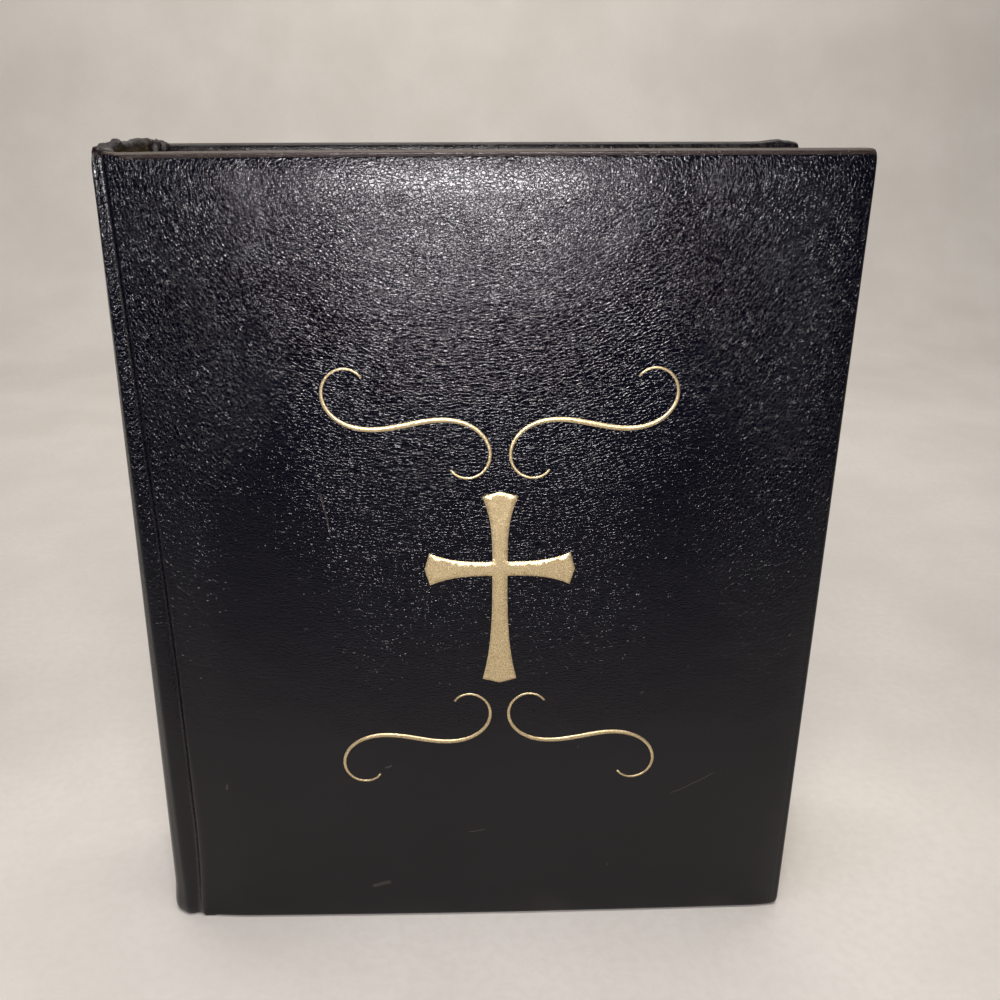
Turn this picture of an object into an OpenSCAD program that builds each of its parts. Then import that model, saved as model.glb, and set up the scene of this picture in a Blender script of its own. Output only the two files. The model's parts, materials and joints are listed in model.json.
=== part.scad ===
// Family Bible in a padded leather case binding, standing on its tail edges.
// X runs from the spine to the fore edge, Y from the front cover to the back, Z from tail to head.
// The origin is on the ground, under the middle of the book.

/* [Pages] */
// Width of a page, from the spine fold to the fore edge
page_w = 228.6; // [200:0.1:240]
// Height of a page, from tail to head
page_h = 279.4; // [240:0.1:300]
// Thickness of the whole text block
block_t = 52; // [48:0.5:56]
// How far the text block's back bulges at its middle
block_round = 1.5; // [1:0.1:1.8]
// Play between two neighbouring groups of gatherings
section_gap = 0.2; // [0.15:0.01:0.3]

/* [Covers] */
// How far the covers stand past the pages on three sides
square = 3.3; // [2.5:0.1:5]
// Thickness of the board
board_t = 2.6; // [2:0.1:3]
// Thickness of the wadding over the board
pad_t = 1.9; // [1:0.1:2.2]
// Thickness of the leather
leather_t = 0.8; // [0.6:0.05:1]
// Thickness of the leather turned in behind the board
turn_in_t = 0.5; // [0.3:0.05:0.6]
// Width of the turned-in leather
turn_in_w = 15; // [10:1:25]
// Thickness of an endpaper
paper_t = 0.3; // [0.2:0.05:0.35]
// Bare turned-in margin around the pastedown
margin = 4; // [3:0.5:6]
// Radius of the covers' fore-edge corners
corner_r = 3; // [2:0.5:6]
// Angle at which each cover stands open at rest
splay = 1.5; // [0.5:0.1:2]
// How far a flyleaf lifts, as a share of its cover's angle
leaf_lift = 0.13; // [0.1:0.01:0.15]

/* [Spine] */
// How far the spine bulges behind the text block's shoulder
spine_depth = 7.8; // [7.6:0.1:10]
// Radius of the spine's flat arch
spine_r = 110; // [100:5:150]
// Radius of the spine's rounded shoulders
shoulder_r = 4; // [3:0.5:5]
// Thickness of the stiffening card inside the spine
inlay_t = 0.6; // [0.4:0.1:0.7]
// Width of the grooved joint between the spine and a board
joint_w = 7.7; // [7:0.1:10]
// Depth of the groove, from the spine's shoulder down
groove_d = 1; // [0.5:0.1:1.2]

/* [Ornament] */
// Height of the stamped cross
cross_h = 70; // [50:1:80]
// Width of the stamped cross
cross_w = 48; // [30:1:60]
// Length of the line that makes one scroll
scroll_len = 104; // [80:1:110]
// Thickness of the stamped foil
foil_t = 0.08; // [0.05:0.01:0.15]

/* [Hidden] */
$fn = 96;

// Heights along Z
cover_h = page_h + 2 * square;
head_z = cover_h - square;

// Layers of one side, as distances from the book's middle plane with the cover shut
groups = 4;
half_t = block_t / 2;
section_pitch = half_t / groups;
leaf_in = half_t + 0.15;
leaf_out = leaf_in + paper_t;
paste_in = leaf_out + 0.3;
turn_in = paste_in + paper_t;
board_in = turn_in + turn_in_t;
pad_in = board_in + board_t;
skin_in = pad_in + pad_t;
cover_out = skin_in + leather_t;

// Axes of one side, each an [x, distance from the middle plane]
spine_edge_x = 0.2;
spine_half_w = pad_in + leather_t + 0.05;
seam = 0.05;
joint_axis = [spine_edge_x + seam, spine_half_w];
cover_axis = [joint_axis[0] + seam + joint_w, spine_half_w - groove_d];
leaf_axis = [cover_axis[0] + 4.5, leaf_out];

// The cover's edges along X
cover_x0 = cover_axis[0] + 0.15;
cover_x1 = page_w + square;
skin_fit = 0.05;

// The whole book is shifted so that the middle of its width is over the origin
mid_x = (cover_x1 - spine_depth) / 2;

// The back of the text block is part of a large circle
block_r = (half_t * half_t + block_round * block_round) / (2 * block_round);
block_cx = block_r - block_round;

// ---- shapes shared by many pieces ----

// A copy for the front is a mirror image of one for the back
module on_side(side) {
    translate([-mid_x, 0, 0])
        mirror([0, side == "front" ? 1 : 0, 0])
            children();
}

// Turns a piece outwards about an upright axis
module swing(axis, angle) {
    translate([axis[0], axis[1], 0])
        rotate([0, 0, angle])
            translate([-axis[0], -axis[1], 0])
                children();
}

// A flat panel between two distances from the middle plane, with round fore-edge corners
module panel(x0, x1, z0, z1, near, far, r = 0) {
    translate([0, far, 0])
        rotate([90, 0, 0])
            linear_extrude(height = far - near)
                panel_outline(x0, x1, z0, z1, r);
}

module panel_outline(x0, x1, z0, z1, r) {
    translate([x0, z0])
        square([x1 - x0 - r, z1 - z0]);
    if (r > 0) {
        translate([x0, z0 + r])
            square([x1 - x0, z1 - z0 - 2 * r]);
        for (z = [z0 + r, z1 - r])
            translate([x1 - r, z])
                circle(r = r);
    }
}

// The spine's closed outline, shrunk by inset and cut off at x_end
module spine_outline(inset, x_end) {
    big_cx = spine_r - spine_depth;
    corner_y = spine_half_w - shoulder_r;
    corner_x = big_cx - sqrt(pow(spine_r - shoulder_r, 2) - corner_y * corner_y);
    tangent_y = corner_y * (spine_r - inset) / (spine_r - shoulder_r);
    intersection() {
        union() {
            intersection() {
                translate([big_cx, 0])
                    circle(r = spine_r - inset, $fn = 360);
                translate([-2 * spine_depth, -tangent_y])
                    square([4 * spine_depth, 2 * tangent_y]);
            }
            for (y = [-corner_y, corner_y])
                translate([corner_x, y])
                    circle(r = shoulder_r - inset);
            translate([corner_x, -spine_half_w + inset])
                square([2 * spine_depth, 2 * (spine_half_w - inset)]);
        }
        translate([-2 * spine_depth, -spine_half_w])
            square([2 * spine_depth + x_end, 2 * spine_half_w]);
    }
}

// A layer that lies on the back of the text block
module back_layer(near, far, half_w, z0, z1) {
    translate([-mid_x, 0, z0])
        linear_extrude(height = z1 - z0)
            intersection() {
                translate([block_cx, 0])
                    difference() {
                        circle(r = block_r + far, $fn = 720);
                        circle(r = block_r + near, $fn = 720);
                    }
                translate([-10, -half_w])
                    square([20, 2 * half_w]);
            }
}

// ---- spine ----

module spine_leather() {
    cap = 1;
    cap_w = 2.6;
    color("#17151a")
        translate([-mid_x, 0, 0]) {
            linear_extrude(height = cover_h)
                difference() {
                    spine_outline(0, spine_edge_x);
                    spine_outline(leather_t, spine_edge_x + 1);
                }
            for (z = [0, cover_h - cap])
                translate([0, 0, z])
                    linear_extrude(height = cap)
                        difference() {
                            spine_outline(0, spine_edge_x);
                            spine_outline(cap_w, spine_edge_x + 1);
                        }
        }
}

module spine_inlay() {
    inlay_half_w = spine_half_w - shoulder_r - 2;
    near = leather_t + skin_fit;
    big_cx = spine_r - spine_depth;
    color("#8c7a5c")
        translate([-mid_x, 0, 2])
            linear_extrude(height = cover_h - 4)
                intersection() {
                    translate([big_cx, 0])
                        difference() {
                            circle(r = spine_r - near, $fn = 360);
                            circle(r = spine_r - near - inlay_t, $fn = 360);
                        }
                    translate([-spine_depth, -inlay_half_w])
                        square([spine_depth, 2 * inlay_half_w]);
                }
}

// ---- joints between the spine and the boards ----

module joint_leather(side) {
    ramp = 1.7;
    top = joint_axis[1];
    floor_o = cover_axis[1];
    x0 = joint_axis[0] + seam;
    x1 = x0 + joint_w - seam;
    color("#1b191d")
        on_side(side)
            linear_extrude(height = cover_h)
                polygon([
                    [x0, top], [x0 + ramp, floor_o], [x1, floor_o],
                    [x1, floor_o - leather_t], [x0 + ramp - 0.3, floor_o - leather_t],
                    [x0, top - leather_t],
                ]);
}

// ---- covers ----

module cover_leather(side) {
    inner_x1 = cover_x1 - leather_t;
    inner_z0 = leather_t;
    inner_z1 = cover_h - leather_t;
    inner_r = corner_r - leather_t;
    color("#17151a")
        on_side(side)
            swing(cover_axis, splay)
                difference() {
                    panel(cover_x0, cover_x1, 0, cover_h, turn_in, cover_out, corner_r);
                    panel(cover_x0 + leather_t, inner_x1, inner_z0, inner_z1,
                          board_in, skin_in, inner_r);
                    panel(cover_x0 - 1, cover_x1 - turn_in_w, turn_in_w, cover_h - turn_in_w,
                          turn_in - 1, board_in + 0.5);
                }
}

module board(side) {
    edge = leather_t + skin_fit;
    color("#9a8763")
        on_side(side)
            swing(cover_axis, splay)
                panel(cover_x0 + edge, cover_x1 - edge, edge, cover_h - edge,
                      board_in, pad_in, corner_r - leather_t);
}

module padding(side) {
    edge = leather_t + 1.2;
    color("#e8e2d2")
        on_side(side)
            swing(cover_axis, splay)
                panel(cover_x0 + edge, cover_x1 - edge, edge, cover_h - edge,
                      pad_in, skin_in, corner_r - leather_t);
}

// The pasted endpaper, with the sheet that fills the space between the turn-ins
module pastedown(side) {
    x0 = cover_x0 + leather_t + 0.2;
    fit = 0.2;
    color("#d9cfb8")
        on_side(side)
            swing(cover_axis, splay) {
                panel(x0, cover_x1 - margin, margin, cover_h - margin, paste_in, turn_in);
                panel(x0, cover_x1 - turn_in_w - fit, turn_in_w + fit, cover_h - turn_in_w - fit,
                      turn_in, board_in);
            }
}

module flyleaf(side) {
    color("#e6dcc4")
        on_side(side)
            swing(leaf_axis, splay * leaf_lift)
                panel(leaf_axis[0], page_w - 0.5, square, head_z, leaf_in, leaf_out);
}

// ---- stamped ornament on the front cover ----

// The outline of one arm of the cross, from its right root over the flared end to its left root
function arm(len, root, flare) = concat(
    [for (t = [0:0.125:1]) [root + (flare - root) * pow(t, 3), root + (len - root) * t]],
    [[0, len + 0.28 * flare]],
    [for (t = [1:-0.125:0]) [-root - (flare - root) * pow(t, 3), root + (len - root) * t]]
);

function turned(points, a) = [for (p = points) [p[0] * cos(a) - p[1] * sin(a), p[0] * sin(a) + p[1] * cos(a)]];

// The middle line of a scroll: a curve whose bend grows evenly towards both ends
scroll_steps = 56;
scroll_turn = 250;
scroll_step = scroll_len / scroll_steps;
function scroll_angle(i) = scroll_turn * pow(2 * i / scroll_steps - 1, 2);
function scroll_line() = [
    for (i = 0, p = [0, 0]; i <= scroll_steps;
         p = p + scroll_step * [cos(scroll_angle(i + 0.5)), sin(scroll_angle(i + 0.5))], i = i + 1) p
];

// Half the width of a scroll's stroke, thick in the middle and fine at its ends
function stroke(i) = 0.35 + 0.5 * pow(sin(180 * i / scroll_steps), 2);

module scroll() {
    line = scroll_line();
    middle = line[scroll_steps / 2];
    left = [for (i = [0:scroll_steps])
        line[i] - middle + stroke(i) * [-sin(scroll_angle(i)), cos(scroll_angle(i))]];
    right = [for (i = [scroll_steps:-1:0])
        line[i] - middle - stroke(i) * [-sin(scroll_angle(i)), cos(scroll_angle(i))]];
    polygon(concat(left, right));
}

module ornament_outline() {
    root = 2.6;
    flare = 6;
    cross_x = (cover_x0 + cover_x1) / 2;
    cross_z = 0.53 * cover_h;
    up = cross_h * 0.38;
    down = cross_h * 0.62;
    scroll_x = 0.29 * scroll_len;
    scroll_gap = 0.24 * scroll_len;
    scroll_tilt = 12;
    translate([cross_x, cross_z]) {
        polygon(concat(
            arm(up, root, flare),
            turned(arm(cross_w / 2, root, flare), 90),
            turned(arm(down, root, flare), 180),
            turned(arm(cross_w / 2, root, flare), 270)
        ));
        for (flip = [0, 1])
            mirror([flip, 0]) {
                translate([scroll_x, up + scroll_gap])
                    rotate(-scroll_tilt)
                        scroll();
                translate([scroll_x, -down - scroll_gap])
                    rotate(scroll_tilt)
                        mirror([0, 1])
                            scroll();
            }
    }
}

module cover_ornament() {
    color("#d8bd7a")
        on_side("front")
            swing(cover_axis, splay)
                translate([0, cover_out + foil_t, 0])
                    rotate([90, 0, 0])
                        linear_extrude(height = foil_t)
                            ornament_outline();
}

// ---- text block ----

// One group of gatherings, counted from the middle of the book outwards
module section(side, k) {
    near = (k - 1) * section_pitch + section_gap / 2;
    far = k * section_pitch - section_gap / 2;
    color("#e9dfc6")
        on_side(side)
            translate([0, 0, square])
                linear_extrude(height = page_h)
                    intersection() {
                        difference() {
                            translate([block_cx, 0])
                                circle(r = block_r, $fn = 720);
                            translate([block_cx + page_w, 0])
                                circle(r = block_r, $fn = 720);
                        }
                        translate([-block_round, near])
                            square([page_w + block_round, far - near]);
                    }
}

module sewing_tapes() {
    tape_w = 14;
    for (part = [0.2, 0.5, 0.8])
        color("#d6cfbd")
            back_layer(0.05, 0.3, half_t - 0.3,
                       square + part * page_h - tape_w / 2, square + part * page_h + tape_w / 2);
}

module super() {
    color("#cfc9b6")
        back_layer(0.35, 0.6, half_t - 0.2, square + 12, head_z - 12);
}

module spine_liner() {
    color("#a98958")
        back_layer(0.65, 0.95, half_t - 0.2, square + 3, head_z - 3);
}

// A woven band on the end of the text block's back
module end_band(z0) {
    color("#b98f3e")
        back_layer(-2, 0.3, half_t - 0.5, z0, z0 + 2);
}

module headband() {
    end_band(head_z + 0.1);
}

module tailband() {
    end_band(square - 2.1);
}

spine_leather();
spine_inlay();
joint_leather("front");  // front_joint_leather
joint_leather("back");  // back_joint_leather
cover_leather("front");  // front_cover_leather
board("front");  // front_board
padding("front");  // front_padding
pastedown("front");  // front_pastedown
cover_ornament();
cover_leather("back");  // back_cover_leather
board("back");  // back_board
padding("back");  // back_padding
pastedown("back");  // back_pastedown
flyleaf("front");  // front_flyleaf
flyleaf("back");  // back_flyleaf
section("front", 1);  // front_section_1
section("front", 2);  // front_section_2
section("front", 3);  // front_section_3
section("front", 4);  // front_section_4
section("back", 1);  // back_section_1
section("back", 2);  // back_section_2
section("back", 3);  // back_section_3
section("back", 4);  // back_section_4
super();
spine_liner();
sewing_tapes();
headband();
tailband();
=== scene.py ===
import json
import math

import bmesh
import bpy
import numpy as np
from mathutils import Matrix, Vector


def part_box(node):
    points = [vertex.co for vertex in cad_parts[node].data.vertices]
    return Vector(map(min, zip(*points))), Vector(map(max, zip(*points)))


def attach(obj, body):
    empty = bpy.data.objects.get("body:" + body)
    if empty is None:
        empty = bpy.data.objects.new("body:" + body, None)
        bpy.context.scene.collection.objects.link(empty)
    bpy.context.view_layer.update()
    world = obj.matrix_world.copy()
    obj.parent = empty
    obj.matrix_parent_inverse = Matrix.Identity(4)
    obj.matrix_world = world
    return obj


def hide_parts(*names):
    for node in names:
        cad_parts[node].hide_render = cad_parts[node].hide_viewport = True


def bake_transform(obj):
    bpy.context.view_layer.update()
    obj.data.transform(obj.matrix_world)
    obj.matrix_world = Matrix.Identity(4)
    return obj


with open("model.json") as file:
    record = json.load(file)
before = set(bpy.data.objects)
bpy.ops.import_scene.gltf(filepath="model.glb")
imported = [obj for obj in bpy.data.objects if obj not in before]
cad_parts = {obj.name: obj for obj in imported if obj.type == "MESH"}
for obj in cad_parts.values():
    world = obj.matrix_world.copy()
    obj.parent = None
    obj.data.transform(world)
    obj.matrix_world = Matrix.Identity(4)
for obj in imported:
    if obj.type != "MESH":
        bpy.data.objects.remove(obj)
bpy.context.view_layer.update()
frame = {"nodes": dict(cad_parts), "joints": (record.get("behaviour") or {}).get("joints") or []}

# A large family Bible: padded leather covers, grooved joints, a hollow spine with a crushed
# headcap, endpapers, eight groups of gatherings with gilt edges, and a gold-stamped front.
# Lengths are in millimetres in the row frame until a mesh is made.
# x runs from spine to fore edge, o is the distance from the book's middle plane, z is the height.

MM = 0.001
SIDES = ("front", "back")
SIGN = {"front": -1, "back": 1}
SECTIONS = (1, 2, 3, 4)


# ---------------------------------------------------------------- places taken from the frame

def hinge(name):
    """A hinge's (x, distance from the middle plane) in millimetres."""
    joint = next(j for j in frame["joints"] if j["name"] == name)
    return joint["pos_m"][0] / MM, abs(joint["pos_m"][1]) / MM


def corner(node):
    low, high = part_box(node)
    return np.array(low) / MM, np.array(high) / MM


JOINT_X, JOINT_O = hinge("front_joint_flex")
COVER_X, COVER_O = hinge("front_cover_hinge")
LEAF_X, LEAF_O = hinge("front_flyleaf_hinge")
GUTTER_X, _ = hinge("book_open")
SPLAY = -math.radians(next(j for j in frame["joints"] if j["name"] == "front_cover_hinge")["range_deg"][0])
LEAF_LIFT = 0.13

spine_low, spine_high = corner("spine_leather")
cover_low, cover_high = corner("front_cover_leather")
block_low, block_high = corner("front_section_4")

HEIGHT = spine_high[2]
SPINE_X = spine_low[0]
FORE_X = cover_high[0]
INNER_O = COVER_O - (cover_high[1] + COVER_O) / math.cos(SPLAY)
OUTER_O = COVER_O + (-cover_low[1] - COVER_O - (FORE_X - COVER_X) * math.sin(SPLAY)) / math.cos(SPLAY)
SQUARE = block_low[2]
HEAD = block_high[2]
BLOCK_O = -block_low[1]
STRIP_X = (JOINT_X + COVER_X) / 2


# ---------------------------------------------------------------- small maths

def smooth(t):
    t = np.clip(t, 0.0, 1.0)
    return t * t * (3 - 2 * t)


def bell(x, at, width):
    """A bump of height 1 there, falling to about a third at that width from it."""
    return np.exp(-(((x - at) / width) ** 2))


def ripple(u, v, seed, size):
    """A smooth, repeatable unevenness between about -1 and 1, with features of that size."""
    rng = np.random.default_rng(seed)
    total = 0.0
    for _ in range(7):
        angle = rng.uniform(0, math.tau)
        pitch = math.tau / (size * rng.uniform(0.7, 1.8))
        phase = rng.uniform(0, math.tau)
        total = total + np.sin(pitch * (u * math.cos(angle) + v * math.sin(angle)) + phase)
    return total / 3.2


def spread(start, stop, step):
    """Evenly spaced values from start to stop, about a step apart, without the last one."""
    count = max(1, round(abs(stop - start) / step))
    return list(np.linspace(start, stop, count, endpoint=False))


def to_world(side, x, o, z, turn=0.0, about=(COVER_X, COVER_O)):
    """Row-frame points in metres, turned outwards by an angle about an upright axis."""
    x, o, z = np.broadcast_arrays(np.asarray(x, float), np.asarray(o, float), np.asarray(z, float))
    dx, do = x - about[0], o - about[1]
    c, s = np.cos(turn), np.sin(turn)
    points = np.stack([about[0] + dx * c - do * s, SIGN[side] * (about[1] + dx * s + do * c), z], -1)
    return points * MM


# ---------------------------------------------------------------- meshes

def new_mesh(name, points, faces, materials, slots=None, attributes=None, smooth_shade=True, weld=True):
    """A mesh object from points, faces and per-point attributes, with doubled points joined."""
    mesh = bpy.data.meshes.new(name)
    mesh.from_pydata([tuple(p) for p in np.asarray(points).reshape(-1, 3)], [], [tuple(f) for f in faces])
    for label, values in (attributes or {}).items():
        layer = mesh.attributes.new(label, "FLOAT", "POINT")
        layer.data.foreach_set("value", np.asarray(values, np.float32).ravel())
    for material in materials:
        mesh.materials.append(material)
    if slots is not None:
        mesh.polygons.foreach_set("material_index", slots)
    mesh.polygons.foreach_set("use_smooth", [smooth_shade] * len(mesh.polygons))
    if weld:
        bm = bmesh.new()
        bm.from_mesh(mesh)
        bmesh.ops.remove_doubles(bm, verts=bm.verts, dist=2e-6)
        bmesh.ops.dissolve_degenerate(bm, edges=bm.edges, dist=1e-7)
        bmesh.ops.recalc_face_normals(bm, faces=bm.faces)
        bm.to_mesh(mesh)
        bm.free()
    obj = bpy.data.objects.new(name, mesh)
    bpy.context.scene.collection.objects.link(obj)
    return obj


def grid_faces(rows, columns, start=0):
    return [
        (start + r * columns + c, start + r * columns + c + 1,
         start + (r + 1) * columns + c + 1, start + (r + 1) * columns + c)
        for r in range(rows - 1) for c in range(columns - 1)
    ]


def rim_faces(rows, columns, start=0):
    """Faces that join the edges of two grids, the second one stored straight after the first."""
    count = rows * columns
    lines = ([r * columns for r in range(rows)], [r * columns + columns - 1 for r in range(rows)],
             list(range(columns)), list(range(count - columns, count)))
    return [(start + a, start + b, start + b + count, start + a + count)
            for line in lines for a, b in zip(line, line[1:])]


# ---------------------------------------------------------------- material helpers

class Nodes:
    """A short way to write a node tree."""

    def __init__(self, name):
        self.material = bpy.data.materials.new(name)
        self.material.use_nodes = True
        self.tree = self.material.node_tree
        self.shader = self.tree.nodes["Principled BSDF"]

    def add(self, kind, settings=None, **inputs):
        node = self.tree.nodes.new(kind)
        for key, value in (settings or {}).items():
            setattr(node, key, value)
        for key, value in inputs.items():
            self.feed(node.inputs[key.replace("_", " ")], value)
        return node

    def feed(self, socket, value):
        if isinstance(value, bpy.types.NodeSocket):
            self.tree.links.new(value, socket)
        else:
            socket.default_value = value

    def math(self, operation, a, b=0.0, clamp=False):
        node = self.tree.nodes.new("ShaderNodeMath")
        node.operation = operation
        node.use_clamp = clamp
        for socket, value in zip(node.inputs, (a, b)):
            self.feed(socket, value)
        return node.outputs[0]

    def plus(self, a, b):
        return self.math("ADD", a, b)

    def minus(self, a, b):
        return self.math("SUBTRACT", a, b)

    def times(self, a, b):
        return self.math("MULTIPLY", a, b)

    def most(self, a, b):
        return self.math("MAXIMUM", a, b)

    def ramp(self, value, low, high, out_low=0.0, out_high=1.0):
        """A smooth step from out_low at low to out_high at high."""
        node = self.tree.nodes.new("ShaderNodeMapRange")
        node.interpolation_type = "SMOOTHSTEP"
        for socket, number in zip(node.inputs, (value, low, high, out_low, out_high)):
            self.feed(socket, number)
        return node.outputs[0]

    def mix(self, share, a, b):
        node = self.tree.nodes.new("ShaderNodeMix")
        node.data_type = "RGBA"
        self.feed(node.inputs[0], share)
        self.feed(node.inputs[6], a if isinstance(a, bpy.types.NodeSocket) else (*a, 1))
        self.feed(node.inputs[7], b if isinstance(b, bpy.types.NodeSocket) else (*b, 1))
        return node.outputs[2]

    def attribute(self, name):
        return self.add("ShaderNodeAttribute", {"attribute_name": name}).outputs["Fac"]

    def place(self):
        return self.add("ShaderNodeTexCoord").outputs["Object"]

    def scaled(self, vector, x, y, z):
        node = self.add("ShaderNodeMapping")
        self.feed(node.inputs["Vector"], vector)
        node.inputs["Scale"].default_value = (x, y, z)
        return node.outputs[0]

    def noise_node(self, vector, scale, detail, rough=0.55):
        node = self.add("ShaderNodeTexNoise", Scale=scale, Detail=detail, Roughness=rough)
        self.feed(node.inputs["Vector"], vector)
        return node

    def noise(self, vector, scale, detail=3.0, rough=0.55):
        return self.noise_node(vector, scale, detail, rough).outputs["Fac"]

    def voronoi(self, vector, scale):
        """Distance to the nearest edge between cells."""
        node = self.add("ShaderNodeTexVoronoi", {"feature": "DISTANCE_TO_EDGE"}, Scale=scale)
        self.feed(node.inputs["Vector"], vector)
        return node.outputs["Distance"]

    def warped(self, vector, scale, amount):
        """Coordinates pushed about by a noise of that scale."""
        wobble = self.noise_node(vector, scale, 2.0).outputs["Color"]
        centred = self.add("ShaderNodeVectorMath", {"operation": "SUBTRACT"})
        self.feed(centred.inputs[0], wobble)
        centred.inputs[1].default_value = (0.5, 0.5, 0.5)
        sized = self.add("ShaderNodeVectorMath", {"operation": "SCALE"})
        self.feed(sized.inputs[0], centred.outputs[0])
        sized.inputs["Scale"].default_value = amount
        moved = self.add("ShaderNodeVectorMath", {"operation": "ADD"})
        self.feed(moved.inputs[0], vector)
        self.feed(moved.inputs[1], sized.outputs[0])
        return moved.outputs[0]

    def bump(self, height, distance, strength):
        node = self.add("ShaderNodeBump", Strength=strength, Distance=distance)
        self.feed(node.inputs["Height"], height)
        return node.outputs[0]

    def finish(self, color, roughness, normal, **fixed):
        """Feed the shader; values that are the same all over are set on its own sockets."""
        self.feed(self.shader.inputs["Base Color"], color)
        self.feed(self.shader.inputs["Roughness"], roughness)
        self.feed(self.shader.inputs["Normal"], normal)
        for key, value in fixed.items():
            self.shader.inputs[key.replace("_", " ")].default_value = value
        return self.material


# ---------------------------------------------------------------- materials

def cells(n, place, scale, stretch, groove):
    """Height of flat-topped cells with grooves of that share of a cell between them."""
    bent = n.scaled(n.warped(place, scale * 0.6, 0.9 / scale), *stretch)
    return n.ramp(n.voronoi(bent, scale), 0.0, groove)


# Grain: cells a metre, stretch in x, y and z, and the groove's share of a cell, with a share before
LEVEL_GRAIN = (
    (1.3, (820, (0.82, 1, 1.2), 0.2)),
    (0.3, (1700, (0.8, 1, 1.25), 0.2)),
    (0.5, (230, (0.5, 1, 1.5), 0.05)),
)
DRAWN_GRAIN = (740, (1.25, 1, 0.66), 0.10)
DRAWN_WRINKLES = (900, (1.2, 1, 0.8), 0.12)
WRINKLE_SHARE = 0.55
GRAIN_WANDER = 0.06
# Distances from the middle, and heights, between which the grain changes, in metres
DRAWN_FROM, DRAWN_FULL = 0.075, 0.125
DEEPER_FROM, DEEPER_FULL = 0.225, 0.165
DRAWN_DEPTH, DEEPER_DEPTH = 0.8, 0.1
GRAIN_DEPTH = 0.00004


def leather_grain(n, place):
    """Height of the grain: shallow, level cells in the middle, deeper upright wrinkles at the sides."""
    level = 0.0
    for share, grain in LEVEL_GRAIN:
        level = n.plus(level, n.times(cells(n, place, *grain), share))
    wrinkles = n.times(cells(n, place, *DRAWN_WRINKLES), WRINKLE_SHARE)
    upright = n.times(cells(n, place, *DRAWN_GRAIN), n.plus(1 - WRINKLE_SHARE, wrinkles))
    split = n.add("ShaderNodeSeparateXYZ", Vector=place)
    wander = n.times(n.noise(place, 14, 2.0), GRAIN_WANDER)
    side = n.plus(n.math("ABSOLUTE", split.outputs["X"]), wander)
    drawn = n.ramp(side, DRAWN_FROM, DRAWN_FULL)
    below = n.ramp(n.minus(split.outputs["Z"], wander), DEEPER_FROM, DEEPER_FULL)
    grain = n.plus(n.times(level, n.minus(1.0, drawn)), n.times(upright, drawn))
    depth = n.plus(1.0, n.most(n.times(drawn, DRAWN_DEPTH), n.times(below, DEEPER_DEPTH)))
    return grain, n.times(grain, depth)


def scratch(n, place, start, end, width):
    """A mask for one straight rubbed line on the front, in millimetres (x, z)."""
    sx, sz = (v * MM for v in start)
    ex, ez = (v * MM for v in end)
    length = math.hypot(ex - sx, ez - sz)
    ux, uz = (ex - sx) / length, (ez - sz) / length
    split = n.add("ShaderNodeSeparateXYZ", Vector=n.warped(place, 90, 0.003))
    dx = n.minus(split.outputs["X"], sx)
    dz = n.minus(split.outputs["Z"], sz)
    along = n.plus(n.times(dx, ux), n.times(dz, uz))
    off = n.math("ABSOLUTE", n.minus(n.times(dx, uz), n.times(dz, ux)))
    inside = n.times(n.ramp(along, 0.0, 0.1 * length),
                    n.ramp(along, 0.8 * length, length, 1.0, 0.0))
    line = n.times(inside, n.ramp(off, 0.3 * width * MM, width * MM, 1.0, 0.0))
    front = n.ramp(split.outputs["Y"], -0.020, -0.025)
    return n.times(line, front)


# Rubbed lines on the front cover: (start, end, width) in millimetres from the book's centre line
SCRATCHES = (
    ((-52.0, 181.0), (-49.0, 163.0), 0.35), ((-4.0, 40.0), (3.0, 41.5), 0.30),
    ((-93.0, 63.5), (-94.0, 61.0), 0.5), ((-35.0, 70.5), (-32.0, 71.5), 0.45),
    ((72.0, 56.0), (90.0, 66.0), 0.25), ((-41.0, 15.5), (-33.0, 17.0), 1.2),
    ((59.0, 101.0), (60.0, 101.6), 0.5), ((75.0, 112.0), (75.6, 112.3), 0.4),
    ((50.0, 23.5), (50.6, 23.8), 0.5), ((37.0, 78.0), (37.8, 78.2), 0.4),
)


# Colours of the leather, as linear red, green and blue. Some are painted light: the lighter cell tops leave
# painted shade in the grain's grooves, the lighter tail is a painted reflection of the floor, and the dark
# brown line under the head rim is a painted shadow.
BLACK_DEEP, BLACK_BLUE = (0.0001, 0.0001, 0.0021), (0.0004, 0.0003, 0.0030)
PAINTED_LIGHT_CREST, PAINTED_FLOOR_REFLECTION = (0.0009, 0.0009, 0.0036), (0.0022, 0.0020, 0.0032)
SCRATCHED, DUSTY = (0.050, 0.044, 0.040), (0.060, 0.051, 0.044)
HIDE_DARK, HIDE_LIGHT = (0.024, 0.014, 0.014), (0.110, 0.098, 0.090)
PAINTED_SHADOW_LINE, WORN_BROWN = (0.028, 0.017, 0.012), (0.058, 0.043, 0.033)
GROOVE_ROUGHNESS, CREST_ROUGHNESS = 0.25, 0.13
WORN_ROUGHER, TORN_ROUGHER = 0.3, 0.28


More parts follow.
